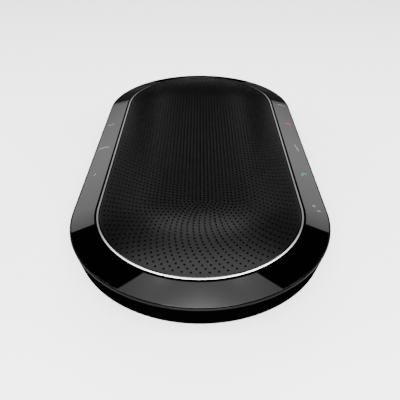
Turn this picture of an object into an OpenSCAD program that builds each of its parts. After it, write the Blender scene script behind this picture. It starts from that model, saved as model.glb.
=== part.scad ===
// Conference speakerphone, free standing on a rubber foot.
// Origin: middle of the footprint, on the table. +Z up, +Y along the long axis,
// towards the end with the sockets. All sizes in millimetres.
//
// Every casing part is a profile in (r, z) carried round a straight-sided,
// round-ended track, where r is the distance from the middle line of the body.

/* [Overall] */
// Length over the lip
overall_length = 332; // [320:2:350]
// Width over the lip
overall_width = 167; // [167:1:172]
// Height from table to the top of the grille's crown
overall_height = 65; // [64:0.5:67]

/* [Top face] */
// Radius of the middle of the trim ring, measured from the middle line
ring_r = 65.7; // [65.5:0.1:66]
// Width of the trim ring
ring_w = 1.8; // [1.4:0.1:2]
// Shadow groove between the trim ring and the touch panel
groove_w = 1.1; // [0.9:0.1:1.3]
// Fall of the touch panel per millimetre of radius
panel_slope = 0.25; // [0.22:0.01:0.27]
// Thickness of the touch panel
panel_t = 1.6; // [1.4:0.1:1.8]
// Width of the housing lip outside the panel
lip_w = 0.8; // [0.7:0.1:1]
// Thickness of the grille sheet
grille_t = 0.8; // [0.6:0.1:1]
// How far the grille's edge sits below the top of the trim ring
grille_drop = 0.1; // [0.1:0.05:0.3]
// Rise of the crowned grille from its edge to the middle
crown_h = 4.9; // [4:0.1:5]

/* [Side] */
// Height of the lower edge of the side band
band_foot_z = 41.1; // [40.5:0.1:41.5]
// How far the side band leans in at its lower edge
band_inset = 3.3; // [3:0.1:4]
// Wall thickness of both housings
wall = 2.4; // [2:0.1:2.6]

/* [Base] */
// Radius of the base where it meets the foot
base_r = 39.5; // [39:0.1:40]
// Radius of the base where it turns out to the overhang
neck_r = 47.8; // [47.5:0.1:49]
// Height of that turn
neck_z = 31.7; // [31.5:0.1:32]
// Clearance from the table to the hard base
base_z = 1.2; // [1:0.1:1.4]

/* [Loudspeaker] */
// Outer radius of the loudspeaker frame
driver_r = 33; // [33:0.1:34]
// Height of the face the loudspeaker frame is seated on
baffle_z = 48; // [47.5:0.1:48]
// Travel of the diaphragm each way
travel = 2.5; // [1:0.1:3]

/* [Sockets] */
// Radius of the 3.5 mm audio plug's bore
audio_bore_r = 1.8; // [1.78:0.01:1.85]
// Depth of the audio bore
audio_bore_l = 13; // [12:0.5:13]
// Radius of the power inlet's bore
power_bore_r = 3.1; // [2.9:0.1:3.2]

/* [Hidden] */
$fn = 64;
eps = 0.01;

H = overall_height - crown_h + grille_drop; // top of the trim ring
R = overall_width / 2;                    // outer radius at the lip
hs = (overall_length - overall_width) / 2; // half length of the straight
ri = ring_r - ring_w / 2;                 // trim ring, inside
ro = ring_r + ring_w / 2;                 // trim ring, outside
rp = ro + groove_w;                       // touch panel, inside
rl = R - lip_w;                           // lip, inside
rpo = rl - 0.4;                           // touch panel, outside
film_t = 0.3;
// Top of the touch panel, and of the bed it lies on, at radius r
function zp(r) = H - 0.4 - panel_slope * (r - rp);
function bed(r) = zp(r) - panel_t - film_t - 0.05;
lip_z = zp(rpo) - 0.15;                   // top of the lip
split_z = band_foot_z + 1.15;             // joint line of the two housings
// Radius of the side band at height z
function band_r(z) = R - band_inset * (lip_z - 0.7 - z) / (lip_z - 0.7 - band_foot_z);
us = (band_foot_z - neck_z) / (R - band_inset - neck_r); // rise of the overhang
// Height of the overhang's outer face at radius r
function under_z(r) = neck_z + us * (r - neck_r);
ws = (neck_r - base_r) / (neck_z - base_z);              // lean of the base wall
// Radius of the base wall's outer face at height z
function base_wall_r(z) = base_r + ws * (z - base_z);
floor_z = base_z + 2.6;                   // inside floor
// Bottom housing's inner surfaces
function in_wall_r(z) = base_wall_r(z) - wall * 1.03;
function in_under_z(r) = under_z(r) + wall * 1.04;
rim_r = neck_r + 3.8;                     // where the base meets the cover
rim_z = under_z(rim_r) + 3;               // top of the base's rim

shelf_z = H - 6.2;                        // underside of the grille's shelf
seat_z = H - 3.8;                         // grille skirt's seat
screw_r = 70;                             // housing screws, radius
// Housing screws: each is [x, y]
housing_pts = concat(
    [for (sx = [-1, 1], sy = [-1, 1]) [sx * screw_r, sy * 60]],
    [for (sx = [-1, 1], sy = [-1, 1])
        [sx * screw_r * sin(40), sy * (hs + screw_r * cos(40))]]);
frame_r = 61.8;
frame_pts = concat(
    [for (sx = [-1, 1], sy = [-1, 1]) [sx * frame_r, sy * 22]],
    [for (sx = [-1, 1], sy = [-1, 1])
        [sx * frame_r * sin(50), sy * (hs + frame_r * cos(50))]]);
mic_r = (ro + rp) / 2;
mic_pts = concat(
    [for (sx = [-1, 1], sy = [-1, 1]) [sx * mic_r, sy * 41.5]],
    [for (sy = [-1, 1]) [0, sy * (hs + mic_r)]]);
// Screws under the foot: each is [x, y]
foot_pts = [for (sx = [-1, 1], sy = [-1, 1]) [sx * 31.7, sy * 76]];
leg_z = 14;                               // foot of the inner frame's legs
key_z = H - 12.6;                         // underside of the key boards
// Touch positions along each side
key_pitch = 41;
key_x = rp + 8.3;
key_ys = [for (i = [-2:2]) i * key_pitch + 1];

// Port bay
bay_w = 54;   // width of the bay
bay_y = hs + 29.5; // face of the port panel's seat
bay_z0 = 7.6; // bay floor
bay_z1 = 27;  // bay roof
pcb_z = 12.4; // underside of the main board
pcb_t = 1.6;
pcb_top = pcb_z + pcb_t;
pcb_y0 = 45;
pcb_y1 = bay_y - 2.6;
port_y = bay_y + 1.2; // front face of the port panel
power_x = -17.5;
data_x = -6.5;
charge_x = 7.2;
audio_x = 19.4;

// ---- helpers ----------------------------------------------------------
// Unit vector from a to b
function unit(a, b) = (b - a) / norm(b - a);
// Points that round the corner b between a and c to radius r
function arc_corner(a, b, c, r, n) =
    let (u = unit(b, a), v = unit(b, c),
        h = acos(max(-1, min(1, u * v))) / 2,
        t = r / tan(h),
        m = b + unit([0, 0], u + v) * r / sin(h),
        p = b + u * t, q = b + v * t,
        a0 = atan2(p[1] - m[1], p[0] - m[0]),
        a1r = atan2(q[1] - m[1], q[0] - m[0]),
        d = a1r - a0,
        a1 = a0 + (d > 180 ? d - 360 : d < -180 ? d + 360 : d))
    [for (i = [0:n]) m + r * [cos(a0 + (a1 - a0) * i / n), sin(a0 + (a1 - a0) * i / n)]];
// A closed path of [x, y, radius] with each corner rounded to its radius
function rounded(p, n = 4) =
    let (k = len(p))
    [for (i = [0:k - 1])
        let (a = p[(i + k - 1) % k], b = p[i], c = p[(i + 1) % k])
        each (b[2] == 0 ? [[b[0], b[1]]] :
            arc_corner([a[0], a[1]], [b[0], b[1]], [c[0], c[1]], b[2], n))];

// Carries a profile in (r, z) round the track as a closed ring
module track(pts) {
    translate([0, hs, 0]) rotate_extrude(angle = 180) polygon(pts);
    translate([0, -hs, 0]) rotate([0, 0, 180]) rotate_extrude(angle = 180) polygon(pts);
    translate([0, hs, 0]) rotate([90, 0, 0]) linear_extrude(2 * hs) polygon(pts);
    translate([0, -hs, 0]) rotate([90, 0, 180]) linear_extrude(2 * hs) polygon(pts);
}
// Flat plate with the track's outline at radius r
module plate(r, z0, z1) {
    translate([0, 0, z0]) linear_extrude(z1 - z0) track_2d(r);
}
module track_2d(r) {
    union() {
        square([2 * r, 2 * hs], center = true);
        for (s = [-1, 1]) translate([0, s * hs]) circle(r);
    }
}
module at(pts, z = 0) { for (p = pts) translate([p[0], p[1], z]) children(); }
module tube(ro, ri, h) {
    difference() {
        cylinder(r = ro, h = h);
        translate([0, 0, -1]) cylinder(r = ri, h = h + 2);
    }
}

// Height of the crowned surface at radius r
function crown_z(r) = H - grille_drop + crown_h * (1 - pow(r / (ri - 0.1), 2));
// Crowned sheet from the middle line out to radius r, between two depths
module crowned(r, d0, d1, n = 10) {
    track(concat([for (i = [0:n]) [r * i / n, crown_z(r * i / n) - d0]],
        [for (i = [n:-1:0]) [r * i / n, crown_z(r * i / n) - d1]]));
}

// ---- outside ----------------------------------------------------------
// Perforated cover over the middle: a crowned sheet with a turned-down skirt
module speaker_grille() {
    e = ri - 0.25;
    n = 10;
    color([0.10, 0.10, 0.11])
        track(concat([for (i = [0:n]) [e * i / n, crown_z(e * i / n)]],
            [[e, seat_z], [e - 1, seat_z], [e - 1, crown_z(e - 1) - grille_t]],
            [for (i = [n - 1:-1:0]) [e * i / n, crown_z(e * i / n) - grille_t]]));
}
// Acoustic scrim stretched under the grille
module grille_cloth() {
    color([0.03, 0.03, 0.03]) crowned(ri - 1.9, grille_t + 0.15, grille_t + 0.5);
}
// Polished ring between grille and touch panel
module trim_ring() {
    color([0.85, 0.86, 0.88])
        track(rounded([[ri, H - 2.85, 0], [ri, H, 0.35], [ro, H, 0.45], [ro, H - 2.85, 0]], 3));
}
// Gloss panel with the touch areas, one piece all the way round
module touch_panel() {
    color([0.01, 0.01, 0.012])
        track(rounded([[rp, zp(rp) - panel_t, 0], [rp, zp(rp), 0.3],
            [rpo, zp(rpo), 0.3], [rpo, zp(rpo) - panel_t, 0]], 3));
}
// Touch sensor foil bonded under the panel, one strip a side
module touch_sensor_film() {
    color([0.7, 0.5, 0.2])
        for (s = [0, 180]) rotate([0, 0, s])
            translate([0, hs, 0]) rotate([90, 0, 0]) linear_extrude(2 * hs)
                polygon([for (q = [[rp + 1.5, 0], [rpo - 1.5, 0], [rpo - 1.5, 1], [rp + 1.5, 1]])
                    [q[0], zp(q[0]) - panel_t - film_t * (1 - q[1])]]);
}
// Bezel: side band, lip, bed for the touch panel and seats for ring and grille
module top_housing() {
    color([0.015, 0.015, 0.017]) difference() {
        union() {
            track(rounded([
                [band_r(split_z), split_z, 0],
                [R, lip_z - 0.7, 0], [R - 0.25, lip_z - 0.12, 0.25], [rl, lip_z, 0.1],
                [rl, bed(rl), 0], [rp - 0.2, bed(rp - 0.2), 0], [rp - 0.2, H - 1.6, 0],
                [ro + 0.05, H - 1.6, 0], [ro + 0.05, H - 2.9, 0], [ri - 0.05, H - 2.9, 0],
                [ri - 0.05, seat_z - 0.05, 0], [ri - 4.3, seat_z - 0.05, 0],
                [ri - 4.3, shelf_z, 0], [ri + 1.7, shelf_z, 0],
                [rp + 0.6, bed(rp + 0.6) - 2.2, 0],
                [band_r(bed(rl)) - wall - 0.6, bed(band_r(bed(rl)) - wall - 0.6) - 2.2, 1.5],
                [band_r(split_z) - wall, split_z, 0]]));
            at(housing_pts, split_z) cylinder(r = 4.2, h = bed(screw_r) - 1 - split_z);
            // hangers for the two key boards
            for (s = [-1, 1], y = [-82, 0, 82]) translate([s * 77, y - 10, key_z + 1.2])
                cylinder(r = 1.6, h = bed(77) - 1 - key_z - 1.2);
        }
        at(housing_pts, split_z - 1) cylinder(r = 1.45, h = 10.6, $fn = 32);
        at(frame_pts, shelf_z - 1) cylinder(r = 1.05, h = 5, $fn = 24);
        at(mic_pts, shelf_z - 2) cylinder(r = 0.3, h = 8, $fn = 16);
        for (s = [-1, 1], y = key_ys) translate([s * key_x, y, H - 9])
            cylinder(r = 1.4, h = 8, $fn = 24);
    }
}
// Ring that closes the overhang from below
module lower_cover() {
    color([0.02, 0.02, 0.022]) difference() {
        union() {
            track(rounded([
                [rim_r + 0.3, under_z(rim_r + 0.3), 0], [R - band_inset, band_foot_z, 0.7],
                [band_r(split_z - 0.1), split_z - 0.1, 0],
                [band_r(split_z) - wall, split_z - 0.1, 0],
                [rim_r + 0.3, in_under_z(rim_r + 0.3), 0]]));
            at(housing_pts) translate([0, 0, under_z(screw_r) + 1.4])
                cylinder(r = 4.2, h = split_z - 0.1 - under_z(screw_r) - 1.4);
        }
        at(housing_pts, under_z(screw_r) - 4) {
            cylinder(r = 3.1, h = 6.4, $fn = 32);
            cylinder(r = 1.7, h = 12, $fn = 32);
        }
    }
}
// Solid outline of the base
module base_solid() {
    track([[30, base_z + 0.6], [base_r - 0.9, base_z + 0.6], [neck_r - 0.9, neck_z - 3], [30, neck_z - 3]]);
    plate(30.5, base_z + 0.6, neck_z - 3);
}
// Base and neck, a tub with the bay for the sockets
module base_housing() {
    color([0.02, 0.02, 0.022]) difference() {
        union() {
            track(rounded([
                [30, base_z, 0], [base_r, base_z, 1.4], [neck_r, neck_z, 6],
                [rim_r, under_z(rim_r), 0], [rim_r, rim_z, 0], [rim_r - 2.6, rim_z, 0],
                [in_wall_r(neck_z + 1), neck_z + 1, 2],
                [in_wall_r(floor_z), floor_z, 0], [30, floor_z, 0]]));
            plate(30.5, base_z, floor_z);
            intersection() {
                base_solid();
                translate([-bay_w / 2 - 2.2, bay_y - 2.4, bay_z0 - 2.2])
                    cube([bay_w + 4.4, 40, bay_z1 - bay_z0 + 4.4]);
            }
            // pillars for the main board
            for (x = [-20, 20], y = [pcb_y0 + 5, 90]) translate([x, y, base_z + 0.5])
                cylinder(r = 3, h = pcb_z - base_z - 0.5, $fn = 32);
            // pillars for the screws under the foot
            at(foot_pts, base_z + 2) cylinder(r = 3.9, h = leg_z - 0.1 - base_z - 2);
        }
        // bay and the window behind the port panel
        translate([-bay_w / 2, bay_y, bay_z0]) cube([bay_w, 40, bay_z1 - bay_z0]);
        translate([-24.6, bay_y - 5, 12]) cube([49.2, 10, 13]);
        // groove for the foot
        difference() {
            plate(36.8, 0, base_z + 1.4);
            plate(26.7, -1, base_z + 3);
        }
        at(foot_pts) {
            cylinder(r = 2.9, h = base_z + 4.2, $fn = 32);
            cylinder(r = 1.7, h = leg_z + 2, $fn = 32);
        }
        for (x = [-20, 20], y = [pcb_y0 + 5, 90]) translate([x, y, floor_z])
            cylinder(r = 1.05, h = 12, $fn = 24);
        // slot for a security lock
        translate([-base_wall_r(22) - 2, -60 - 3.6, 20.4]) cube([8, 7.2, 3.2]);
        // recess for the rating label, left blank
        translate([-19, -55, base_z - 1]) cube([38, 52, 1.4]);
    }
}
// Rubber foot in the groove round the base
module foot_pad() {
    color([0.05, 0.05, 0.05])
        track(rounded([[27, 0, 0.5], [36.5, 0, 0.5], [36.5, base_z + 1.35, 0], [27, base_z + 1.35, 0]], 3));
}
// Cover plate of the bay, with a cut-out for each socket
module port_panel() {
    color([0.03, 0.03, 0.033]) difference() {
        translate([-bay_w / 2 + 0.15, bay_y, bay_z0 + 0.15])
            cube([bay_w - 0.3, 1.2, bay_z1 - bay_z0 - 0.3]);
        translate([power_x - 4.8, bay_y - 1, pcb_top - 0.1]) cube([9.6, 4, 11]);
        translate([data_x - 4.7, bay_y - 1, pcb_top - 0.1]) cube([9.4, 4, 3.7]);
        translate([charge_x - 7.3, bay_y - 1, pcb_top - 0.1]) cube([14.6, 4, 7.3]);
        translate([audio_x, bay_y - 1, pcb_top + 3]) rotate([-90, 0, 0])
            cylinder(r = 3.1, h = 4);
    }
}
// Steel plate behind the lock slot
module lock_slot_plate() {
    x = in_wall_r(22);
    color([0.6, 0.6, 0.62]) translate([-x + 0.1, -60, 22]) rotate([0, -atan(ws), 0])
        difference() {
            translate([0, -8, -5]) cube([1.5, 16, 10]);
            translate([-1, -3.5, -1.5]) cube([4, 7, 3]);
        }
}
// Screws that hold the cover to the bezel, driven from below
module cover_screws() {
    z = under_z(screw_r) + 2.4;
    color([0.1, 0.1, 0.1]) at(housing_pts) difference() {
        union() {
            translate([0, 0, z - 1.9]) cylinder(r = 2.8, h = 1.9, $fn = 32);
            translate([0, 0, z - eps]) cylinder(r = 1.4, h = 10.5, $fn = 32);
        }
        translate([0, 0, z - 2.9]) cylinder(r = 1.3, h = 2, $fn = 6);
    }
}

// Screws under the foot that pull the base up to the inner frame
module foot_screws() {
    z = base_z + 4.2;
    color([0.7, 0.7, 0.72]) at(foot_pts) difference() {
        union() {
            translate([0, 0, z - 2]) cylinder(r = 2.7, h = 2, $fn = 32);
            translate([0, 0, z - eps]) cylinder(r = 1.4, h = 18, $fn = 32);
        }
        translate([0, 0, z - 3]) cylinder(r = 1.3, h = 2, $fn = 6);
    }
}

// ---- inside structure -------------------------------------------------
// Frame under the grille that carries the loudspeaker
module inner_frame() {
    fo = ri - 5;
    color([0.12, 0.12, 0.13]) difference() {
        union() {
            plate(fo, baffle_z - 2.5, baffle_z);
            track([[fo - 2, baffle_z - eps], [fo, baffle_z - eps], [fo, shelf_z - 2],
                [ri - 1.5, shelf_z - 2], [ri - 1.5, shelf_z], [fo - 2, shelf_z]]);
            // stiffening ribs
            for (s = [-1, 1], y = [50, 85, 120]) translate([-40, s * y - 0.8, baffle_z - eps])
                cube([80, 1.6, 3]);
            // legs down to the base
            at(foot_pts, leg_z) cylinder(r = 3.6, h = baffle_z - 2 - leg_z);
        }
        at(foot_pts, leg_z - 1) cylinder(r = 1.45, h = 12, $fn = 32);
        translate([0, 0, baffle_z - 5]) cylinder(r = driver_r - 4.8, h = 8);
        for (a = [45:90:359]) rotate([0, 0, a]) translate([driver_r - 2.1, 0, baffle_z - 5])
            cylinder(r = 1.05, h = 8, $fn = 24);
        at(frame_pts, shelf_z - 5) cylinder(r = 1.3, h = 8, $fn = 24);
        // slots for the flat cables
        translate([-66, 74.6, key_z - 3.9]) cube([132, 8.8, 1.1]);
    }
}
module frame_screws() {
    color([0.7, 0.7, 0.72]) at(frame_pts) difference() {
        union() {
            translate([0, 0, shelf_z - 3.4]) cylinder(r = 1.9, h = 1.4, $fn = 32);
            translate([0, 0, shelf_z - 2 - eps]) cylinder(r = 1, h = 4, $fn = 24);
        }
        translate([0, 0, shelf_z - 4.4]) cylinder(r = 1, h = 1.7, $fn = 6);
    }
}
// Closed cup behind the loudspeaker
module speaker_chamber() {
    color([0.08, 0.08, 0.09]) difference() {
        union() {
            translate([0, 0, 9]) cylinder(r = driver_r + 4, h = baffle_z - 2.5 - 9);
            translate([0, 0, baffle_z - 4.5]) cylinder(r = driver_r + 7, h = 2);
        }
        translate([0, 0, 11]) cylinder(r = driver_r + 2, h = 60);
        for (x = [-2.5, 2.5]) translate([x, 0, lead_z]) rotate([-90, 0, 0])
            cylinder(r = 0.8, h = 60, $fn = 24);
    }
}

// ---- loudspeaker ------------------------------------------------------
fz = baffle_z + 0.8;  // underside of the frame's flange
ft = fz + 1.5;        // top of the flange
lead_z = baffle_z - 6; // height of the wires' way out of the chamber
module driver_holes(r, z, h) {
    for (a = [45:90:359]) rotate([0, 0, a]) translate([driver_r - 2.1, 0, z])
        cylinder(r = r, h = h, $fn = 24);
}
// Foam ring under the loudspeaker's flange
module speaker_gasket() {
    color([0.05, 0.05, 0.05]) difference() {
        translate([0, 0, baffle_z]) tube(driver_r, driver_r - 4.8, 0.8);
        driver_holes(1.2, baffle_z - 1, 3);
    }
}
// Pressed steel frame with four windows
module speaker_basket() {
    color([0.15, 0.15, 0.16]) difference() {
        rotate_extrude() polygon([[26.1, ft], [driver_r, ft], [driver_r, fz], [27.6, fz],
            [27.6, ft - 4.8], [20.5, ft - 12.7], [20.5, ft - 14.3], [12.8, ft - 14.3],
            [12.8, ft - 12.9], [19.4, ft - 12.9], [26.1, ft - 4.4]]);
        for (a = [0, 90]) rotate([0, 0, a + 45]) translate([-9, -40, ft - 11])
            cube([18, 80, 5.5]);
        driver_holes(1.15, fz - 1, 4);
    }
}
// Half-roll rubber edge between the cone and the frame
module speaker_surround() {
    c = [25.5, ft + 0.2];
    color([0.04, 0.04, 0.04]) rotate_extrude() polygon(concat(
        [[28.8, ft], [28.8, ft + 0.4]],
        [for (a = [0:12:180]) c + 2.1 * [cos(a), sin(a)]],
        [[22.4, ft + 0.4], [22.4, ft]],
        [for (a = [180:-12:0]) c + 1.7 * [cos(a), sin(a)]]));
}
module speaker_cone() {
    color([0.2, 0.2, 0.21]) rotate_extrude() polygon([[23.6, ft - 0.02], [22.3, ft - 0.02],
        [9.95, ft - 9.9], [9.95, ft - 10.8], [22.6, ft - 0.55], [23.6, ft - 0.45]]);
}
// Dome glued over the coil former
module dust_cap() {
    s = 14;
    b = 11.4;
    a0 = asin(b / s);
    color([0.1, 0.1, 0.1]) translate([0, 0, ft - 8.7 - s * cos(a0)]) rotate_extrude()
        polygon(concat([for (i = [0:8]) s * [sin(a0 * i / 8), cos(a0 * i / 8)]],
            [for (i = [8:-1:0]) (s - 0.4) * [sin(a0 * i / 8), cos(a0 * i / 8)]]));
}
// Paper tube that carries the winding
module coil_former() {
    color([0.75, 0.6, 0.3]) translate([0, 0, ft - 19.4]) tube(9.85, 9.55, 9.4);
}
// Copper winding in the magnet gap
module voice_coil() {
    color([0.75, 0.4, 0.15]) translate([0, 0, ft - 19.1]) tube(10.4, 9.87, 5.6);
}
// Corrugated centring disc
module speaker_spider() {
    n = 14;
    z = ft - 12.1;
    color([0.7, 0.55, 0.2]) rotate_extrude() polygon(concat(
        [for (i = [0:n]) [10 + i * 0.55, z + (i % 2 == 0 ? 0 : 0.7)]],
        [[18, ft - 12.9], [19.2, ft - 12.9], [19.2, ft - 12.5], [18.1, ft - 12.5]],
        [for (i = [n:-1:0]) [10 + i * 0.55, z + 0.4 + (i % 2 == 0 ? 0 : 0.7)]]));
}
module top_plate() {
    color([0.6, 0.6, 0.62]) translate([0, 0, ft - 17.7]) tube(21.5, 10.85, 3.4);
}
module speaker_magnet() {
    color([0.12, 0.12, 0.12]) translate([0, 0, ft - 26.7]) tube(20.5, 13.5, 9);
}
// Back plate with the vented pole
module magnet_yoke() {
    color([0.6, 0.6, 0.62]) translate([0, 0, ft - 30.2]) difference() {
        union() {
            cylinder(r = 21.5, h = 3.5);
            cylinder(r = 9.15, h = 15.9);
        }
        translate([0, 0, -1]) cylinder(r = 2.2, h = 20, $fn = 32);
    }
}
module speaker_terminals() {
    color([0.5, 0.35, 0.2]) {
        translate([-5, 27.7, ft - 11.8]) cube([10, 1.1, 6.6]);
    }
}
// Pair of wires from the terminals to the main board, bent down behind the chamber
module speaker_leads() {
    bend = 3;
    y = 58;
    color([0.7, 0.1, 0.1]) for (x = [-2.5, 2.5]) translate([x, 0, 0]) {
        translate([0, 28.82, lead_z]) rotate([-90, 0, 0])
            cylinder(r = 0.7, h = y - bend - 28.82, $fn = 24);
        translate([0, y - bend, lead_z - bend]) rotate([90, 0, 90])
            rotate_extrude(angle = 90) translate([bend, 0]) circle(0.7, $fn = 24);
        translate([0, y, pcb_top]) cylinder(r = 0.7, h = lead_z - bend - pcb_top, $fn = 24);
    }
}
module speaker_screws() {
    color([0.7, 0.7, 0.72]) for (a = [45:90:359]) rotate([0, 0, a])
        translate([driver_r - 2.1, 0, 0]) difference() {
            union() {
                translate([0, 0, ft]) cylinder(r = 1.8, h = 1.4, $fn = 32);
                translate([0, 0, ft - 5]) cylinder(r = 1, h = 5 + eps, $fn = 24);
            }
            translate([0, 0, ft + 0.6]) cylinder(r = 0.9, h = 2, $fn = 6);
        }
}

// ---- electronics ------------------------------------------------------
module main_board() {
    color([0.05, 0.3, 0.15]) difference() {
        translate([-24, pcb_y0, pcb_z]) cube([48, pcb_y1 - pcb_y0, pcb_t]);
        for (x = [-20, 20], y = [pcb_y0 + 5, 90]) translate([x, y, pcb_z - 1])
            cylinder(r = 1.3, h = 4, $fn = 24);
    }
}
module processor_chip() {
    color([0.03, 0.03, 0.03]) translate([-6, 64, pcb_top]) cube([12, 12, 1.2]);
}
// Tinned can over the radio
module radio_shield() {
    color([0.75, 0.75, 0.72]) translate([-11, 78, pcb_top]) difference() {
        cube([22, 14, 2.6]);
        translate([0.3, 0.3, -1]) cube([21.4, 13.4, 3.3]);
    }
}
module filter_capacitors() {
    color([0.1, 0.12, 0.2]) for (x = [-14, 14]) translate([x, 62, pcb_top])
        cylinder(r = 4, h = 11);
}
module board_screws() {
    color([0.7, 0.7, 0.72]) for (x = [-20, 20], y = [pcb_y0 + 5, 90]) translate([x, y, 0])
        difference() {
            union() {
                translate([0, 0, pcb_top]) cylinder(r = 2.2, h = 1.5, $fn = 32);
                translate([0, 0, pcb_top - 7]) cylinder(r = 1, h = 7 + eps, $fn = 24);
            }
            translate([0, 0, pcb_top + 0.7]) cylinder(r = 1, h = 2, $fn = 6);
        }
}
module antenna_board() {
    color([0.05, 0.3, 0.15]) translate([-15, -hs - 48, baffle_z]) cube([30, 8, 1]);
}
module key_board(s) {
    color([0.05, 0.3, 0.15]) difference() {
        translate([s > 0 ? 70.6 : -78.2, -92, key_z]) cube([7.6, 184, 1.2]);
        for (y = [-60, 60]) translate([s * screw_r, y, key_z - 2]) cylinder(r = 4.7, h = 6);
    }
}
module left_key_board() { key_board(-1); }
module right_key_board() { key_board(1); }
module icon_leds() {
    color([0.95, 0.9, 0.7]) for (s = [-1, 1], y = key_ys)
        translate([s * key_x - 0.8, y - 0.8, key_z + 1.2]) cube([1.6, 1.6, 0.7]);
}
// Clear posts that carry the light up to the printed icons
module icon_light_guides() {
    color([0.9, 0.9, 0.9]) for (s = [-1, 1], y = key_ys)
        translate([s * key_x, y, key_z + 1.95])
            cylinder(r = 1.3, h = bed(key_x + 1.4) - key_z - 1.95, $fn = 24);
}
// Flat cable from a key board down to the main board
module flex_cable(s) {
    k = key_z;
    color([0.75, 0.45, 0.1]) mirror([s > 0 ? 0 : 1, 0, 0]) translate([0, 83, 0])
        rotate([90, 0, 0]) linear_extrude(8)
            polygon([[71.4, k], [70.9, k], [67.2, k - 3.2], [22, k - 3.2], [21, k - 4.2],
                [21, pcb_top], [21.3, pcb_top], [21.3, k - 4.35], [22.15, k - 3.5],
                [67.35, k - 3.5], [71.4, k - 0.05]]);
}
module left_flex_cable() { flex_cable(-1); }
module right_flex_cable() { flex_cable(1); }
// Microphones on small boards under the groove
module microphones() {
    color([0.6, 0.6, 0.55]) at(mic_pts) translate([0, 0, shelf_z - 1.8]) {
        translate([-3.5, -3.5, -1]) cube([7, 7, 1]);
        translate([-1.5, -2, -2]) cube([3, 4, 1 + eps]);
    }
}
// Rubber boots that seal the microphones to the housing
module microphone_boots() {
    color([0.05, 0.05, 0.05]) at(mic_pts) translate([0, 0, shelf_z - 1.8]) difference() {
        translate([-2.8, -2.8, 0]) cube([5.6, 5.6, 1.75]);
        translate([0, 0, -1]) cylinder(r = 0.5, h = 4, $fn = 16);
    }
}

// ---- sockets ----------------------------------------------------------
module power_inlet() {
    zc = pcb_top + 6;
    color([0.04, 0.04, 0.04]) {
        difference() {
            translate([power_x - 4.6, port_y - 14, pcb_top]) cube([9.2, 14, 10.7]);
            translate([power_x, port_y - 10, zc]) rotate([-90, 0, 0])
                cylinder(r = power_bore_r, h = 12);
        }
        translate([power_x, port_y - 10.5, zc]) rotate([-90, 0, 0])
            cylinder(r = 1.05, h = 9.5, $fn = 32);
    }
}
module usb_data_socket() {
    color([0.75, 0.75, 0.74]) translate([data_x, port_y - 8, pcb_top + 1.75]) {
        rotate([-90, 0, 0]) difference() {
            linear_extrude(8) union() {
                square([5.7, 3.3], center = true);
                for (s = [-1, 1]) translate([s * 2.85, 0]) circle(1.65);
            }
            translate([0, 0, 1]) linear_extrude(8) union() {
                square([5.7, 2.7], center = true);
                for (s = [-1, 1]) translate([s * 2.85, 0]) circle(1.35);
            }
        }
        translate([-3.2, 0.5, -0.35]) cube([6.4, 6, 0.7]);
    }
}
module usb_charge_socket() {
    color([0.75, 0.75, 0.74]) translate([charge_x, port_y, pcb_top]) {
        difference() {
            translate([-7.1, -14, 0]) cube([14.2, 14, 7.1]);
            translate([-6.3, -12.5, 0.95]) cube([12.6, 14, 5.2]);
        }
        translate([-5.6, -12.6, 3.7]) cube([11.2, 11, 1.9]);
    }
}
module audio_jack() {
    color([0.04, 0.04, 0.04]) difference() {
        union() {
            translate([audio_x - 3, port_y - 14.2, pcb_top]) cube([6, 12.8, 6]);
            translate([audio_x, port_y - 2, pcb_top + 3]) rotate([-90, 0, 0])
                cylinder(r = 2.9, h = 2);
        }
        translate([audio_x, port_y - audio_bore_l, pcb_top + 3]) rotate([-90, 0, 0])
            cylinder(r = audio_bore_r, h = audio_bore_l + 1);
    }
}

speaker_grille();
grille_cloth();
trim_ring();
touch_panel();
touch_sensor_film();
top_housing();
lower_cover();
base_housing();
foot_pad();
port_panel();
lock_slot_plate();
cover_screws();
foot_screws();
inner_frame();
frame_screws();
speaker_chamber();
speaker_gasket();
speaker_basket();
speaker_surround();
speaker_cone();
dust_cap();
coil_former();
voice_coil();
speaker_spider();
top_plate();
speaker_magnet();
magnet_yoke();
speaker_terminals();
speaker_leads();
speaker_screws();
main_board();
processor_chip();
radio_shield();
filter_capacitors();
board_screws();
antenna_board();
left_key_board();
right_key_board();
icon_leds();
icon_light_guides();
left_flex_cable();
right_flex_cable();
microphones();
microphone_boots();
power_inlet();
usb_data_socket();
usb_charge_socket();
audio_jack();
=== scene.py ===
import bpy
import bmesh
import math
import numpy as np
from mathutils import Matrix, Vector


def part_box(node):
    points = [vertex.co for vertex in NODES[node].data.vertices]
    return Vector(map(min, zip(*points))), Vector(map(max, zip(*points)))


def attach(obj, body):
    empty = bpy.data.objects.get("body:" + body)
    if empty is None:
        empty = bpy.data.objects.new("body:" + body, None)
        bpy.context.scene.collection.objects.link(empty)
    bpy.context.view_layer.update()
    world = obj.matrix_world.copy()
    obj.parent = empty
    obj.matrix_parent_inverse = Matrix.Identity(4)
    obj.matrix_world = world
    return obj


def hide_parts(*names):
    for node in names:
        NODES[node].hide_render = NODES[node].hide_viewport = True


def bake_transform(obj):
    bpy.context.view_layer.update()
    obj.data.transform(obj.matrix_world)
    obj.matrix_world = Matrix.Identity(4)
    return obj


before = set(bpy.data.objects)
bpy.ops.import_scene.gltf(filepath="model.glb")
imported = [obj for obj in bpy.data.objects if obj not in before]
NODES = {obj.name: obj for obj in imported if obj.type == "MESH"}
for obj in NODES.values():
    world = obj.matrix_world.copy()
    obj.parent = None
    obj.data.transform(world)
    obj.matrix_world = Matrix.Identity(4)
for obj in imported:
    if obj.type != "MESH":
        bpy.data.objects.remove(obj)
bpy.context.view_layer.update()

MM = 0.001

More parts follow.
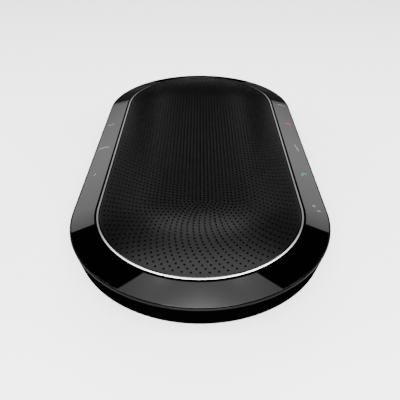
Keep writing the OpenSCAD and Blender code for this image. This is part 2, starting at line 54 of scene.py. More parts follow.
# ------------------------------------------------------------------ measures
grille_lo, grille_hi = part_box("speaker_grille")
ring_lo, ring_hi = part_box("trim_ring")
panel_lo, panel_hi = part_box("touch_panel")
top_lo, top_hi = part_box("top_housing")
HS = (ring_hi.y - ring_hi.x) / MM            # half of the straight part, mm
RING_RO = ring_hi.x / MM
RING_Z = ring_hi.z / MM
GRILLE_R = grille_hi.x / MM
CROWN = grille_hi.z / MM
PANEL_RO = panel_hi.x / MM
PANEL_Z = panel_hi.z / MM
LIP_R = top_hi.x / MM
PANEL_RI = 67.7
SLOPE = 0.25


def panel_z(r):
    return 59.8 - SLOPE * (r - PANEL_RI)


def crown_z(r):
    return 60.1 + 4.9 * (1.0 - (r / 64.7) ** 2)


# ------------------------------------------------------------------ mesh help
def make_object(name, verts, faces, mat, smooth=True, angle=40.0):
    me = bpy.data.meshes.new(name)
    me.from_pydata([tuple(c * MM for c in v) for v in verts], [], faces)
    me.validate()
    me.update()
    bm = bmesh.new()
    bm.from_mesh(me)
    bmesh.ops.recalc_face_normals(bm, faces=bm.faces)
    bm.to_mesh(me)
    bm.free()
    for p in me.polygons:
        p.use_smooth = smooth
    if smooth:
        me.set_sharp_from_angle(angle=math.radians(angle))
    ob = bpy.data.objects.new(name, me)
    bpy.context.scene.collection.objects.link(ob)
    me.materials.append(mat)
    return ob


def fillet(pts, segs=5):
    """Closed (r, z, radius) outline with rounded corners."""
    out = []
    n = len(pts)
    for i in range(n):
        p = np.array(pts[i][:2], float)
        rad = pts[i][2]
        if rad <= 0:
            out.append(tuple(p))
            continue
        a = np.array(pts[i - 1][:2], float) - p
        b = np.array(pts[(i + 1) % n][:2], float) - p
        la, lb = np.linalg.norm(a), np.linalg.norm(b)
        a /= la
        b /= lb
        ang = math.acos(max(-1.0, min(1.0, float(a @ b))))
        t = min(rad / math.tan(ang / 2), 0.49 * la, 0.49 * lb)
        rad = t * math.tan(ang / 2)
        c = p + (a + b) / np.linalg.norm(a + b) * (rad / math.sin(ang / 2))
        s, e = p + a * t - c, p + b * t - c
        a0 = math.atan2(s[1], s[0])
        a1 = math.atan2(e[1], e[0])
        d = (a1 - a0 + math.pi) % (2 * math.pi) - math.pi
        for k in range(segs + 1):
            w = a0 + d * k / segs
            out.append((c[0] + rad * math.cos(w), c[1] + rad * math.sin(w)))
    return out


def stations(n_arc=96, n_str=12):
    st = []
    for k in range(n_arc + 1):
        t = math.radians(-90 + 180 * k / n_arc)
        st.append((-HS, math.sin(t), -math.cos(t)))
    for k in range(1, n_str):
        st.append((-HS + 2 * HS * k / n_str, 1.0, 0.0))
    for k in range(n_arc + 1):
        t = math.pi * k / n_arc
        st.append((HS, math.cos(t), math.sin(t)))
    for k in range(1, n_str):
        st.append((HS - 2 * HS * k / n_str, -1.0, 0.0))
    return st


def sweep(name, outline, mat, n_arc=96, n_str=12, weighted=True):
    st = stations(n_arc, n_str)
    m = len(outline)
    verts = []
    for cy, dx, dy in st:
        for r, z in outline:
            verts.append((r * dx, cy + r * dy, z))
    faces = []
    ns = len(st)
    for i in range(ns):
        j = (i + 1) % ns
        for k in range(m):
            l = (k + 1) % m
            faces.append((i * m + k, j * m + k, j * m + l, i * m + l))
    ob = make_object(name, verts, faces, mat, angle=50.0)
    if weighted:
        wn = ob.modifiers.new("even_normals", "WEIGHTED_NORMAL")
        wn.keep_sharp = True
        wn.weight = 100
    return ob


# ------------------------------------------------------------------ materials
def new_material(name):
    m = bpy.data.materials.new(name)
    m.use_nodes = True
    nt = m.node_tree
    bs = next(n for n in nt.nodes if n.type == "BSDF_PRINCIPLED")
    return m, nt, bs


def moulded(name, dark, light, rough=(0.4, 0.5), spec=0.5, metallic=0.0, grain=2600.0,
            bump=0.15, depth=0.00004, cloud=60.0, coat=0.0, aniso=0.0, noise_detail=4.0):
    """Fine grain for the bump and the roughness, and a slow cloud in the colour."""
    m, nt, bs = new_material(name)
    n = nt.nodes
    co = n.new("ShaderNodeTexCoord")
    g = n.new("ShaderNodeTexNoise")
    g.inputs["Scale"].default_value = grain
    g.inputs["Detail"].default_value = noise_detail
    g.inputs["Roughness"].default_value = 0.6
    c = n.new("ShaderNodeTexNoise")
    c.inputs["Scale"].default_value = cloud
    c.inputs["Detail"].default_value = 3.0
    ramp = n.new("ShaderNodeValToRGB")
    ramp.color_ramp.elements[0].position = 0.3
    ramp.color_ramp.elements[1].position = 0.7
    ramp.color_ramp.elements[0].color = (*dark, 1)
    ramp.color_ramp.elements[1].color = (*light, 1)
    mr = n.new("ShaderNodeMapRange")
    mr.inputs["To Min"].default_value = rough[0]
    mr.inputs["To Max"].default_value = rough[1]
    bp = n.new("ShaderNodeBump")
    bp.inputs["Strength"].default_value = bump
    bp.inputs["Distance"].default_value = depth
    l = nt.links.new
    l(co.outputs["Object"], g.inputs["Vector"])
    l(co.outputs["Object"], c.inputs["Vector"])
    l(c.outputs["Fac"], ramp.inputs["Fac"])
    l(ramp.outputs["Color"], bs.inputs["Base Color"])
    l(g.outputs["Fac"], mr.inputs["Value"])
    l(mr.outputs["Result"], bs.inputs["Roughness"])
    if bump > 0:
        l(g.outputs["Fac"], bp.inputs["Height"])
        l(bp.outputs["Normal"], bs.inputs["Normal"])
    bs.inputs["Specular IOR Level"].default_value = spec
    bs.inputs["Metallic"].default_value = metallic
    bs.inputs["Coat Weight"].default_value = coat
    if aniso:
        bs.inputs["Anisotropic"].default_value = aniso
    return m


def soften_grazing(m, level, start, end):
    """The lacquer's gloss is full face on and dies away where the surface is seen edge on."""
    nt = m.node_tree
    bs = next(n for n in nt.nodes if n.type == "BSDF_PRINCIPLED")
    lw = nt.nodes.new("ShaderNodeLayerWeight")
    lw.inputs["Blend"].default_value = 0.5
    mr = nt.nodes.new("ShaderNodeMapRange")
    mr.interpolation_type = "SMOOTHSTEP"
    mr.inputs["From Min"].default_value = start
    mr.inputs["From Max"].default_value = end
    mr.inputs["To Min"].default_value = level
    mr.inputs["To Max"].default_value = 0.0
    nt.links.new(lw.outputs["Facing"], mr.inputs["Value"])
    nt.links.new(mr.outputs["Result"], bs.inputs["Specular IOR Level"])


def grey(v, warm=1.0):
    return (v * warm, v, v / warm)


M = {}
M["grille_paint"] = moulded("grille_paint", grey(0.0009, 1.03), grey(0.0013, 1.03), (0.19, 0.24), 0.17,
                            grain=5200, bump=0.2, depth=0.00002, cloud=90)
M["scrim"] = moulded("scrim", grey(0.0006), grey(0.0010), (0.85, 0.98), 0.0, grain=2200, bump=0.4)
M["hole_shade"] = moulded("hole_shade", grey(0.0003), grey(0.0006), (0.7, 0.8), 0.0, grain=3000, bump=0.2)
# Lighter copy of the housing black for the lip strip: a painted highlight along the lip, on top of its real satin
# gloss.
M["lip_satin_painted_highlight"] = moulded("lip_satin_painted_highlight", grey(0.0030), grey(0.0040), (0.26, 0.34), 0.045, grain=3800, bump=0.1,
                         depth=0.00001, cloud=70)
M["polished_ring"] = moulded("polished_ring", grey(0.34), grey(0.38), (0.035, 0.06), 0.5, 1.0,
                             grain=900, bump=0.02, depth=0.00001, cloud=40)
M["piano_black"] = moulded("piano_black", grey(0.00008), grey(0.00016), (0.018, 0.035), 0.5,
                           grain=35, bump=0.0, cloud=20)
soften_grazing(M["piano_black"], 0.5, 0.74, 0.84)
# Darker copy of the housing black for the side band: black plastic with painted shade.
M["side_black_painted_shade"] = moulded("side_black_painted_shade", grey(0.00018), grey(0.0003), (0.55, 0.65), 0.0,
                          grain=4200, bump=0.2, depth=0.00002, cloud=70)
M["base_plastic"] = moulded("base_plastic", grey(0.0006), grey(0.0009), (0.50, 0.62), 0.01,
                            grain=3600, bump=0.35, depth=0.00005, cloud=60)
M["pedestal_plastic"] = moulded("pedestal_plastic", grey(0.010), grey(0.014), (0.42, 0.55), 0.35, grain=2600, bump=0.4,
                                depth=0.00003, cloud=60)
M["foot_rubber"] = moulded("foot_rubber", grey(0.012), grey(0.018), (0.75, 0.88), 0.2, grain=1800, bump=0.5,
                           depth=0.00006)
M["bright_steel"] = moulded("bright_steel", grey(0.55), grey(0.62), (0.22, 0.32), 0.5, 1.0, grain=2400, bump=0.1,
                            depth=0.00002)
M["black_steel"] = moulded("black_steel", grey(0.03), grey(0.045), (0.35, 0.5), 0.5, 0.9, grain=2400, bump=0.2,
                           depth=0.00002)
M["inner_plastic"] = moulded("inner_plastic", grey(0.05), grey(0.07), (0.5, 0.65), 0.4, grain=2600, bump=0.3)
M["foam"] = moulded("foam", grey(0.03), grey(0.05), (0.9, 1.0), 0.1, grain=900, bump=0.8, depth=0.0002)
M["basket_paint"] = moulded("basket_paint", grey(0.04), grey(0.05), (0.4, 0.5), 0.5, 0.3, grain=3000, bump=0.2)
M["surround_rubber"] = moulded("surround_rubber", grey(0.015), grey(0.02), (0.55, 0.7), 0.3, grain=1600, bump=0.2)
M["cone_plastic"] = moulded("cone_plastic", grey(0.03), grey(0.05), (0.5, 0.65), 0.3, grain=1200, bump=0.4)
M["former_film"] = moulded("former_film", (0.25, 0.10, 0.03), (0.32, 0.14, 0.05), (0.25, 0.35), 0.5, grain=800, bump=0.1)
M["copper"] = moulded("copper", (0.55, 0.22, 0.10), (0.65, 0.28, 0.13), (0.25, 0.4), 0.5, 1.0, grain=4000, bump=0.4)
M["spider_cloth"] = moulded("spider_cloth", (0.40, 0.22, 0.06), (0.52, 0.30, 0.10), (0.8, 0.95), 0.1, grain=3000, bump=0.6)
M["ferrite"] = moulded("ferrite", grey(0.03), grey(0.045), (0.6, 0.75), 0.3, grain=1500, bump=0.5)
M["board_laminate"] = moulded("board_laminate", (0.01, 0.06, 0.02), (0.015, 0.09, 0.03), (0.25, 0.4), 0.5, grain=900, bump=0.2)
M["wire_jacket"] = moulded("wire_jacket", (0.25, 0.01, 0.01), (0.35, 0.02, 0.015), (0.4, 0.5), 0.4, grain=1500, bump=0.1)
M["chip_epoxy"] = moulded("chip_epoxy", grey(0.015), grey(0.02), (0.5, 0.65), 0.4, grain=2500, bump=0.3)
M["tinned_steel"] = moulded("tinned_steel", grey(0.5), grey(0.6), (0.3, 0.42), 0.5, 1.0, grain=1500, bump=0.2)
M["can_aluminium"] = moulded("can_aluminium", (0.25, 0.27, 0.32), (0.35, 0.37, 0.42), (0.3, 0.4), 0.5, 0.8, grain=1500, bump=0.1)
M["led_lens"] = moulded("led_lens", grey(0.6), grey(0.7), (0.2, 0.3), 0.5, grain=1500, bump=0.1)
M["clear_plastic"] = moulded("clear_plastic", grey(0.65), grey(0.75), (0.12, 0.2), 0.5, grain=900, bump=0.1)
M["socket_plastic"] = moulded("socket_plastic", grey(0.008), grey(0.011), (0.4, 0.55), 0.4, grain=2600, bump=0.2)
M["sensor_foil"] = moulded("sensor_foil", (0.10, 0.09, 0.05), (0.14, 0.12, 0.07), (0.3, 0.4), 0.5, grain=800, bump=0.1)


def lit(name, col, glow):
    m = moulded(name, tuple(0.8 * c for c in col), col, (0.25, 0.35), 0.4, grain=2500, bump=0.1, depth=0.00001)
    bs = next(n for n in m.node_tree.nodes if n.type == "BSDF_PRINCIPLED")
    bs.inputs["Emission Color"].default_value = (*col, 1)
    bs.inputs["Emission Strength"].default_value = glow
    return m


M["icon_grey"] = lit("icon_grey", (0.08, 0.08, 0.08), 1.25)
M["icon_red"] = lit("icon_red", (0.16, 0.02, 0.045), 1.3)
M["icon_green"] = lit("icon_green", (0.02, 0.12, 0.075), 1.0)

NODE_MATERIAL = {
    "speaker_grille": "grille_paint", "grille_cloth": "scrim", "trim_ring": "polished_ring",
    "touch_panel": "piano_black", "touch_sensor_film": "sensor_foil", "top_housing": "side_black_painted_shade",
    "lower_cover": "base_plastic", "base_housing": "pedestal_plastic", "foot_pad": "foot_rubber",
    "port_panel": "socket_plastic", "lock_slot_plate": "bright_steel", "cover_screws": "black_steel",
    "foot_screws": "black_steel", "inner_frame": "inner_plastic", "frame_screws": "bright_steel",
    "speaker_chamber": "inner_plastic", "speaker_gasket": "foam", "speaker_basket": "basket_paint",
    "speaker_surround": "surround_rubber", "speaker_cone": "cone_plastic", "dust_cap": "cone_plastic",
    "coil_former": "former_film", "voice_coil": "copper", "speaker_spider": "spider_cloth",
    "top_plate": "bright_steel", "speaker_magnet": "ferrite", "magnet_yoke": "bright_steel",
    "speaker_terminals": "tinned_steel", "speaker_leads": "wire_jacket", "speaker_screws": "bright_steel",
    "main_board": "board_laminate", "processor_chip": "chip_epoxy", "radio_shield": "tinned_steel",
    "filter_capacitors": "can_aluminium", "board_screws": "bright_steel", "antenna_board": "board_laminate",
    "left_key_board": "board_laminate", "right_key_board": "board_laminate", "icon_leds": "led_lens",
    "icon_light_guides": "clear_plastic", "left_flex_cable": "former_film", "right_flex_cable": "former_film",
    "microphones": "tinned_steel", "microphone_boots": "surround_rubber", "power_inlet": "socket_plastic",
    "usb_data_socket": "bright_steel", "usb_charge_socket": "bright_steel", "audio_jack": "socket_plastic",
}
for node, ob in NODES.items():
    mat = M[NODE_MATERIAL.get(node, "inner_plastic")]
    if not ob.material_slots:
        ob.data.materials.append(mat)
    for s in ob.material_slots:
        s.material = mat

# ------------------------------------------------------------------ loudspeaker edge and spider
# The rubber edge and the centring disc are fixed at the rim and follow the coil at the centre; here each is made of
# equal sectors around the axis.
SECTORS = 16


def sectors(node, slot, profile):
    for k in range(SECTORS):
        verts, faces = [], []
        steps = 4
        a0 = 2 * math.pi * (k - 0.5) / SECTORS
        n = len(profile)
        for i in range(steps + 1):
            a = a0 + 2 * math.pi / SECTORS * i / steps
            verts += [(r * math.cos(a), r * math.sin(a), z) for r, z in profile]
        for i in range(steps):
            for j in range(n):
                l = (j + 1) % n
                faces.append((i * n + j, i * n + l, (i + 1) * n + l, (i + 1) * n + j))
        faces.append(tuple(range(n))[::-1])
        faces.append(tuple(range(steps * n, steps * n + n)))
        ob = make_object("%s_sector_%02d" % (node, k + 1), verts, faces, M[slot], angle=50.0)
        a = 2 * math.pi * k / SECTORS
        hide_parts(node)
        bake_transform(ob)


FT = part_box("speaker_surround")[0].z / MM
arc_out = [(25.5 + 2.1 * math.cos(math.radians(a)), FT + 0.2 + 2.1 * math.sin(math.radians(a)))
           for a in range(0, 181, 12)]
arc_in = [(25.5 + 1.7 * math.cos(math.radians(a)), FT + 0.2 + 1.7 * math.sin(math.radians(a)))
          for a in range(180, -1, -12)]
sectors("speaker_surround", "surround_rubber",
        [(28.8, FT), (28.8, FT + 0.4)] + arc_out + [(22.4, FT + 0.4), (22.4, FT)] + arc_in)
ZS = FT - 12.1
sectors("speaker_spider", "spider_cloth",
        [(10 + i * 0.55, ZS + (0.0 if i % 2 == 0 else 0.7)) for i in range(15)]
        + [(18, FT - 12.9), (19.2, FT - 12.9), (19.2, FT - 12.5), (18.1, FT - 12.5)]
        + [(10 + i * 0.55, ZS + 0.4 + (0.0 if i % 2 == 0 else 0.7)) for i in range(14, -1, -1)])

# ------------------------------------------------------------------ perforated grille
ROWS = 24
HOLES = 140
PITCH = 2.56
HOLE_R = 0.70
SIDES = 10
SHEET = 0.8


def phase(n):
    w = (24 - n) / 10.0
    return 0.2759 * w ** 4 - 0.785 * w ** 3 + 2.0488 * w ** 2 - 4.3889 * w + 0.0204


def length(r):
    return 4 * HS + 2 * math.pi * r


def track_xy(f, r):
    """Point at fraction f of the way round the track at r, from the near end towards +X."""
    big = length(r)
    s = ((f + 0.5) % 1.0 - 0.5) * big
    side = 1.0 if s >= 0 else -1.0
    s = abs(s)
    q = math.pi * r / 2
    if s <= q:
        t = s / r
        x, y = r * math.sin(t), -HS - r * math.cos(t)
    elif s <= q + 2 * HS:
        x, y = r, -HS + (s - q)
    else:
        t = (s - q - 2 * HS) / r
        x, y = r * math.cos(t), HS + r * math.sin(t)
    return side * x, y


def axis_distance(x, y):
    return math.hypot(x, max(0.0, abs(y) - HS))


def perforated_sheet():
    verts = []          # top vertices, then bottom ones are added in step
    top_faces = []
    wall_loops = []

    def add(x, y):
        r = axis_distance(x, y)
        verts.append((x, y, crown_z(r)))
        return len(verts) - 1

    cell = 1.0 / HOLES
    cuts = {}
    for n in range(1, ROWS + 1):
        cuts[n] = [((j + 0.5 + phase(n)) * cell) % 1.0 for j in range(HOLES)]
    # centre row: holes on the axis itself
    n_mid = 70
    step = 2 * HS / n_mid
    mid_y = [-HS + (k + 0.5) * step for k in range(n_mid)]
    mid_cut = [-HS + k * step for k in range(1, n_mid)]
    r0 = 0.5 * PITCH
    l0 = length(r0)
    mid_f = []
    for y in mid_cut:
        f = (math.pi * r0 / 2 + (y + HS)) / l0
        mid_f += [f, 1.0 - f]
    rims = {}
    for b in range(0, ROWS + 1):
        r = (b + 0.5) * PITCH
        fs = set()
        if b >= 1:
            fs |= {round(f, 7) for f in cuts[b]}
        if b + 1 <= ROWS:
            fs |= {round(f, 7) for f in cuts[b + 1]}
        if b == 0:
            fs |= {round(f, 7) for f in mid_f}
        if b == ROWS:
            fs |= {round(k / 560.0 + 0.0003, 7) for k in range(560)}
        fs = sorted(fs)
        rims[b] = [(f, add(*track_xy(f, r))) for f in fs]

    def between(b, f1, f2):
        """Vertices of rim b from f1 to f2, both included, where f2 may pass 1."""
        out = []
        for f, v in rims[b]:
            for g in (f - 1.0, f, f + 1.0):
                if f1 - 2e-7 <= g <= f2 + 2e-7:
                    out.append((g, v))
        out.sort()
        return [v for _, v in out]

    def pierce(loop, cx, cy):
        """Fills between the closed loop and a round hole at (cx, cy)."""
        pts = [(math.atan2(verts[v][1] - cy, verts[v][0] - cx), v) for v in loop]
        area = sum(verts[loop[i - 1]][0] * verts[loop[i]][1] - verts[loop[i]][0] * verts[loop[i - 1]][1]
                   for i in range(len(loop)))
        if area < 0:
            pts.reverse()
        k0 = min(range(len(pts)), key=lambda i: pts[i][0])
        pts = pts[k0:] + pts[:k0]
        hole = []
        for k in range(SIDES):
            a = -math.pi + 2 * math.pi * (k + 0.25) / SIDES
            hole.append((a, add(cx + HOLE_R * math.cos(a), cy + HOLE_R * math.sin(a))))
        i = j = 0
        no, nh = len(pts), len(hole)
        oa = [p[0] for p in pts] + [pts[0][0] + 2 * math.pi]
        ha = [h[0] for h in hole] + [hole[0][0] + 2 * math.pi]
        # start where the first outer point meets the nearest hole point
        while i < no or j < nh:
            if j >= nh or (i < no and oa[i + 1] <= ha[j + 1]):
                top_faces.append((pts[i % no][1], pts[(i + 1) % no][1], hole[j % nh][1]))
                i += 1
            else:
                top_faces.append((pts[i % no][1], hole[(j + 1) % nh][1], hole[j % nh][1]))
                j += 1
        wall_loops.append([h[1] for h in hole])

    for n in range(1, ROWS + 1):
        r = n * PITCH
        for j in range(HOLES):
            f = (j + phase(n)) * cell
            base = math.floor(f)
            f -= base
            f1, f2 = f - 0.5 * cell, f + 0.5 * cell
            inner = between(n - 1, f1, f2)
            outer = between(n, f1, f2)
            loop = outer + inner[::-1]
            cx, cy = track_xy(f, r)
            pierce(loop, cx, cy)
    # middle strip
    rim0 = rims[0]
    right = [(verts[v][1], v) for f, v in rim0 if f <= 0.5]
    left = [(verts[v][1], v) for f, v in rim0 if f > 0.5]
    edges = [-1e9] + mid_cut + [1e9]
    for k in range(n_mid):
        a, b = edges[k] - 1e-4, edges[k + 1] + 1e-4
        rr = [v for y, v in sorted(right) if a <= y <= b]
        ll = [v for y, v in sorted(left) if a <= y <= b]
        pierce(rr + ll[::-1], 0.0, mid_y[k])
    # plain border, rounded edge and skirt, then back under the sheet
    n_top = len(verts)
    outer = [v for _, v in rims[ROWS]]
    skirt_z = grille_lo.z / MM
    slope = 2 * 4.9 * GRILLE_R / 64.7 ** 2
    edge = GRILLE_R
    prof = [(edge - 1.1, crown_z(edge - 1.1))]
    cr = 0.55
    for k in range(6):
        a = math.radians(82 - 82 * k / 5)
        prof.append((edge - cr + cr * math.cos(a), crown_z(edge - cr) - cr + 0.05 + cr * math.sin(a) - 0.02))
    prof.append((edge, skirt_z))
    prof.append((edge - SHEET, skirt_z))
    fr = [f for f, _ in rims[ROWS]]
    rings = [outer]
    for r, z in prof:
        row = []
        for f in fr:
            x, y = track_xy(f, 62.0)
            # push the point out along the local radius
            cy = -HS if y < -HS else (HS if y > HS else y)
            d = math.hypot(x, y - cy)
            verts.append((x / d * r, cy + (y - cy) / d * r, z))
            row.append(len(verts) - 1)
        rings.append(row)
    # bottom copy of the top sheet
    bottom = {}
    for v in range(n_top):
        x, y, z = verts[v]
        verts.append((x, y, z - SHEET))
        bottom[v] = len(verts) - 1
    faces = list(top_faces)
    faces += [tuple(bottom[v] for v in reversed(f)) for f in top_faces]
    for lp in wall_loops:
        k = len(lp)
        for i in range(k):
            a, b = lp[i], lp[(i + 1) % k]
            faces.append((a, b, bottom[b], bottom[a]))
    rings.append([bottom[v] for v in outer])
    m = len(fr)
    for i in range(len(rings) - 1):
        for k in range(m):
            l = (k + 1) % m
            faces.append((rings[i][k], rings[i][l], rings[i + 1][l], rings[i + 1][k]))
    inside = range(len(top_faces), len(top_faces) * 2 + sum(len(lp) for lp in wall_loops))
    return verts, faces, inside


gv, gf, inside = perforated_sheet()
grille = make_object("perforated_grille", gv, gf, M["grille_paint"], angle=38.0)
grille.data.materials.append(M["hole_shade"])
assert len(grille.data.polygons) == len(gf)
for i in inside:
    grille.data.polygons[i].material_index = 1
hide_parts("speaker_grille")
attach(grille, "casing")

# ------------------------------------------------------------------ ring, panel and side
ring = sweep("polished_ring", fillet([
    (65.1, 57.35, 0), (65.1, RING_Z, 0.05), (RING_RO - 0.4, RING_Z, 0.05), (RING_RO, RING_Z - 0.45, 0.05),
    (RING_RO, 57.35, 0)], 3),
    M["polished_ring"], 128, 12)
# Ring faces that are not near level, the outer bevel and the side walls, take the near-black hole_shade material
# instead of the polished metal: painted shade.
ring.data.materials.append(M["hole_shade"])
for poly in ring.data.polygons:
    if abs(poly.normal.z) < 0.9:
        poly.material_index = 1
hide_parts("trim_ring")
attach(ring, "casing")

panel = sweep("gloss_panel", fillet([
    (PANEL_RI, 58.2, 0), (PANEL_RI, 59.8, 0.05), (PANEL_RO, panel_z(PANEL_RO), 0.08),
    (PANEL_RO, panel_z(PANEL_RO) - 1.6, 0)], 6), M["piano_black"], 160, 16)
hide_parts("touch_panel")
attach(panel, "casing")

LEAN = (83.5 - 80.2) / (55.3 - 41.1)


def band_r(z):
    return LIP_R - LEAN * (55.3 - z)


side = sweep("side_band", fillet([
    (band_r(42.25), 42.25, 0), (LIP_R, 55.3, 0.25), (LIP_R - 0.22, 55.9, 0.25), (82.7, 56.0, 0.12),
    (82.7, 54.1, 0), (67.5, 57.9, 0), (67.5, 58.6, 0.1), (66.65, 58.6, 0.1), (66.65, 57.3, 0),
    (64.75, 57.3, 0), (64.75, 56.35, 0), (60.5, 56.35, 0), (60.5, 54.0, 0), (66.5, 54.0, 0),
    (68.3, 55.5, 0), (81.0, 52.3, 0), (band_r(42.25) - 2.2, 42.25, 0)], 4), M["side_black_painted_shade"], 128, 12)
# Lip faces take the lighter copy of the housing black, a painted highlight; the band below keeps the darker copy,
# painted shade.
side.data.materials.append(M["lip_satin_painted_highlight"])
for poly in side.data.polygons:
    c = poly.center
    if axis_distance(c.x / MM, c.y / MM) > 82.6 and c.z / MM > 55.15:
        poly.material_index = 1
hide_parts("top_housing")
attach(side, "casing")


# ------------------------------------------------------------------ touch marks
def strip(path, width, closed=False):
    """Flat ribbon along a path of (a, b), with round ends."""
    pts = [np.array(p, float) for p in path]
    lft, rgt = [], []
    for i, p in enumerate(pts):
        a = pts[max(0, i - 1)]
        b = pts[min(len(pts) - 1, i + 1)]
        d = b - a
        d /= np.linalg.norm(d)
        nrm = np.array([-d[1], d[0]])
        lft.append(p + nrm * width / 2)
        rgt.append(p - nrm * width / 2)
    out = list(lft)
    d = pts[-1] - pts[-2]
    d /= np.linalg.norm(d)
    nrm = np.array([-d[1], d[0]])
    for k in range(1, 6):
        a = math.pi / 2 - math.pi * k / 6
        out.append(pts[-1] + (nrm * math.sin(a) + d * math.cos(a)) * width / 2)
    out += rgt[::-1]
    d = pts[0] - pts[1]
    d /= np.linalg.norm(d)
    nrm = np.array([-d[1], d[0]])
    for k in range(1, 6):
        a = math.pi / 2 - math.pi * k / 6
        out.append(pts[0] + (nrm * math.sin(a) + d * math.cos(a)) * width / 2)
    return [tuple(p) for p in out]


def arc(cx, cy, r, a0, a1, n=12):
    return [(cx + r * math.cos(math.radians(a0 + (a1 - a0) * k / n)),
             cy + r * math.sin(math.radians(a0 + (a1 - a0) * k / n))) for k in range(n + 1)]


def disc(cx, cy, r, n=16):
    return [(cx + r * math.cos(2 * math.pi * k / n), cy + r * math.sin(2 * math.pi * k / n)) for k in range(n)]


def handset(turn):
    """Generic handset: a bowed grip with two square ends."""
    c, s = math.cos(math.radians(turn)), math.sin(math.radians(turn))
    parts = [strip(arc(0, -1.6, 2.6, 35, 145), 0.75),
             strip([(-2.15, 0.15), (-1.75, -0.45)], 1.15), strip([(2.15, 0.15), (1.75, -0.45)], 1.15)]
    return [[(c * a - s * b, s * a + c * b) for a, b in p] for p in parts]


def mark(name, x0, y0, polys, mat):
    side = 1.0 if x0 > 0 else -1.0
    verts, faces = [], []
    for poly in polys:
        base = len(verts)
        k = len(poly)
        for lift in (0.035, -0.15):
            for a, b in poly:
                x, y = x0 + a, y0 + b
                r = axis_distance(x, y)
                verts.append((x, y, panel_z(r) + lift))
        faces.append(tuple(base + i for i in range(k)))
        faces.append(tuple(base + k + i for i in reversed(range(k))))
        for i in range(k):
            j = (i + 1) % k
            faces.append((base + i, base + k + i, base + k + j, base + j))
    ob = make_object(name, verts, faces, mat, angle=30)
    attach(ob, "casing")
    return ob


mark("left_mark_upper", -76.7, 42.2, [strip([(-1.9, -1.0), (-0.2, -0.5), (1.7, 1.0)], 0.75), disc(-2.6, 1.1, 0.45)],
     M["icon_grey"])
mark("left_mark_middle", -76.4, 0.8, [strip(arc(0, -14.0, 14.2, 104, 76), 1.5)], M["icon_grey"])
mark("left_mark_lower", -76.7, -39.4, [strip([(0.6, 1.3), (0.1, -0.2), (-0.3, -1.2)], 0.7)],
     M["icon_grey"])
mark("right_mark_far", 76.0, 83.0, [strip(arc(0, -4.0, 4.6, 130, 50), 0.8)], M["icon_grey"])
mark("right_mark_end_call", 76.3, 43.4, handset(0), M["icon_red"])
mark("right_mark_middle", 76.7, 1.0, [strip([(-0.6, 4.6), (0.9, -4.6)], 0.9)], M["icon_grey"])
mark("right_mark_answer", 75.4, -39.2, handset(40), M["icon_green"])
mark("right_mark_near", 75.9, -81.1, [strip([(-1.0, 1.6), (-1.0, 3.2)], 0.7), strip([(-1.8, 2.4), (-0.2, 2.4)], 0.7),
                                      strip([(0.4, -2.4), (2.2, -2.4)], 0.8)], M["icon_grey"])

# ------------------------------------------------------------------ floor, light cards and lights
fm, fnt, fbs = new_material("studio_floor")
fn = fnt.nodes.new("ShaderNodeTexNoise")
fn.inputs["Scale"].default_value = 3.0
fr_ = fnt.nodes.new("ShaderNodeValToRGB")
fr_.color_ramp.elements[0].color = (0.86, 0.86, 0.86, 1)
fr_.color_ramp.elements[1].color = (0.90, 0.90, 0.90, 1)
fnt.links.new(fn.outputs["Fac"], fr_.inputs["Fac"])
fnt.links.new(fr_.outputs["Color"], fbs.inputs["Base Color"])
fbs.inputs["Roughness"].default_value = 0.9
fbs.inputs["Specular IOR Level"].default_value = 0.0
me = bpy.data.meshes.new("studio_floor")
ring_pts = [(3.2 * math.cos(2 * math.pi * k / 64), 3.2 * math.sin(2 * math.pi * k / 64), 0.0) for k in range(64)]
me.from_pydata(ring_pts, [], [tuple(range(64))])
me.materials.append(fm)
floor = bpy.data.objects.new("studio_floor", me)
bpy.context.scene.collection.objects.link(floor)


def table(x, pts, log=True):
    if x <= pts[0][0]:
        return pts[0][1]
    for (a, va), (b, vb) in zip(pts, pts[1:]):
        if x <= b:
            w = (x - a) / (b - a)
            if log:
                return math.exp(math.log(va) * (1 - w) + math.log(vb) * w)
            return va * (1 - w) + vb * w
    return pts[-1][1]


def card(name, origin, u, v, nu, nv, glow):
    """Flat light card whose brightness changes smoothly over it."""
    o, u, v = Vector(origin), Vector(u), Vector(v)
    verts = []
    vals = []
    for j in range(nv + 1):
        for i in range(nu + 1):
            p = o + u * (i / nu) + v * (j / nv)
            verts.append(p)
            vals.append(glow(p))
    faces = []
    for j in range(nv):
        for i in range(nu):
            a = j * (nu + 1) + i
            faces.append((a, a + 1, a + nu + 2, a + nu + 1))
    me = bpy.data.meshes.new(name)
    me.from_pydata([tuple(p) for p in verts], [], faces)
    at = me.attributes.new("glow", "FLOAT", "POINT")
    at.data.foreach_set("value", vals)
    m = bpy.data.materials.new(name)
    m.use_nodes = True
    nt = m.node_tree
    nt.nodes.clear()
    out = nt.nodes.new("ShaderNodeOutputMaterial")
    em = nt.nodes.new("ShaderNodeEmission")
    an = nt.nodes.new("ShaderNodeAttribute")
    an.attribute_name = "glow"
    nt.links.new(an.outputs["Fac"], em.inputs["Strength"])
    nt.links.new(em.outputs["Emission"], out.inputs["Surface"])
    me.materials.append(m)
    ob = bpy.data.objects.new(name, me)
    bpy.context.scene.collection.objects.link(ob)
    return ob


# front box: above the near end, its far edge at y = 0.452
FRONT_Y = [(-0.5, 3.6), (0.19, 3.3), (0.215, 2.6), (0.24, 2.15), (0.28, 1.85), (0.34, 1.75), (0.45, 1.85)]
FRONT_X = [(0.0, 1.0), (0.2, 1.0), (0.45, 1.0), (0.55, 0.86), (0.62, 0.74), (0.9, 0.6)]


def front_glow(p):
    x = abs(p.x)
    v = table(p.y, FRONT_Y) * table(x, FRONT_X)
    lobe = math.exp(-((x - 0.30) / 0.09) ** 2 - ((p.y - 0.385) / 0.05) ** 2)
    mid = math.exp(-(x / 0.16) ** 2 - ((p.y - 0.20) / 0.05) ** 2)
    return v * (1.0 + 0.7 * lobe + 0.25 * mid)


card("front_card", (-0.9, -0.5, 1.5), (1.8, 0, 0), (0, 0.952, 0), 60, 60, front_glow)

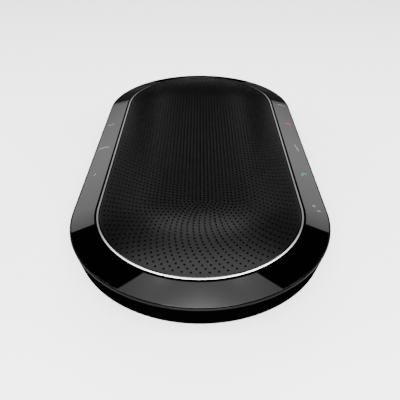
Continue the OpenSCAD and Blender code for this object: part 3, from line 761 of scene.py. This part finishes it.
# middle box, only seen by the grille's paint, and a bow that the polished ring picks up
TOP_Y = [(0.56, 4.5), (0.72, 6.0), (0.86, 4.0), (1.0, 0.5), (1.15, 0.10), (1.9, 0.10), (2.3, 0.28), (2.9, 0.28),
         (3.2, 0.12), (3.6, 0.06), (4.2, 0.05)]
BOW_Y = [(0.0, 1.305), (0.10, 1.314), (0.20, 1.340), (0.30, 1.384), (0.38, 1.443), (0.454, 1.516), (0.513, 1.601),
         (0.557, 1.695), (0.584, 1.794), (0.593, 1.897), (0.62, 2.0)]
BOW_L = [(0.0, 22.0), (0.30, 22.0), (0.38, 15.0), (0.454, 8.0), (0.513, 4.0), (0.557, 1.2), (0.584, 0.7), (0.62, 0.5)]


RING_X = [(0.545, 0.0), (0.57, 1.0), (0.61, 1.0), (0.62, 0.8)]
RING_Y = [(1.55, 0.0), (1.7, 0.9), (2.2, 0.95), (2.7, 1.2), (3.3, 1.1), (3.8, 0.85), (4.2, 0.85)]


def overhead_glow(p):
    x = abs(p.x)
    base = table(p.y, TOP_Y)
    d = abs(p.y - table(x, BOW_Y, False)) / 0.028
    if x < 0.58:
        base += table(x, BOW_L) * math.exp(-d ** 4)
    # the ring's long sides mirror the outer edges of this box
    far = 0.3 * table(x, [(0.40, 0.0), (0.46, 1.0)], False) * table(p.y, [(3.3, 0.0), (3.5, 1.0)], False)
    return max(base, far, table(x, RING_X, False) * table(p.y, RING_Y, False))


card("overhead_card", (-0.62, 0.56, 1.5), (1.24, 0, 0), (0, 3.64, 0), 62, 182, overhead_glow)


def side_glow(p):
    return table(p.z, [(0.40, 0.40), (0.45, 0.72), (0.50, 1.0), (0.55, 1.3), (0.62, 1.6), (0.70, 1.8), (0.85, 1.8), (1.1, 1.55),
                       (1.27, 1.35)])


def side_shaped(p):
    # the upper inner corner stays dim, so the grille doesn't mirror it
    x = abs(p.x)
    t = p.z - (0.51 + (x - 0.56) * 0.68)
    cut = table(t, [(0.09, 1.0), (0.17, 0.12)])
    if x < 0.66:
        cut = max(cut, table(p.z, [(1.0, 0.12), (1.08, 0.6)]))
    w = min(1.0, max(0.0, (x - 0.84) / 0.12))
    return side_glow(p) * (cut + (1.0 - cut) * w)


card("right_card", (0.44, 1.5, 0.40), (1.30, 0, 0), (0, 0, 0.87), 40, 30, side_shaped)
card("left_card", (-0.44, 1.5, 0.40), (-1.30, 0, 0), (0, 0, 0.87), 40, 30, side_shaped)
card("low_card", (-1.2, 1.52, 0.01), (2.4, 0, 0), (0, 0, 0.38), 4, 8, lambda p: 0.13 if p.z < 0.16 else 0.07)


def area(name, loc, aim, sx, sy, radiance):
    li = bpy.data.lights.new(name, "AREA")
    li.shape = "RECTANGLE"
    li.size = sx
    li.size_y = sy
    li.energy = radiance * math.pi * sx * sy
    ob = bpy.data.objects.new(name, li)
    ob.location = loc
    ob.rotation_euler = (Vector(aim) - Vector(loc)).to_track_quat("-Z", "Y").to_euler()
    bpy.context.scene.collection.objects.link(ob)
    return ob


area("key_light", (0.0, -1.9, 1.7), (0, 0.1, 0), 2.2, 1.3, 44.0)
area("fill_left", (-2.2, -0.7, 1.2), (0, 0, 0), 1.2, 1.2, 14.0)
area("fill_right", (2.2, -0.7, 1.2), (0, 0, 0), 1.2, 1.2, 14.0)

world = bpy.data.worlds.new("studio")
bpy.context.scene.world = world
world.use_nodes = True
bg = next(n for n in world.node_tree.nodes if n.type == "BACKGROUND")
bg.inputs["Color"].default_value = (0.010, 0.010, 0.010, 1)
bg.inputs["Strength"].default_value = 1.0

# ------------------------------------------------------------------ camera
cam = bpy.data.cameras.new("camera")
cam.sensor_width = 36.0
cam.lens = 42.34
cam.shift_x = -0.0003
cam.shift_y = 0.0006
cam_ob = bpy.data.objects.new("camera", cam)
cam_ob.location = (0.0, -0.32932, RING_Z * MM + 0.17950)
cam_ob.rotation_euler = (math.radians(54.771), 0.0, 0.0)
bpy.context.scene.collection.objects.link(cam_ob)
bpy.context.scene.camera = cam_ob
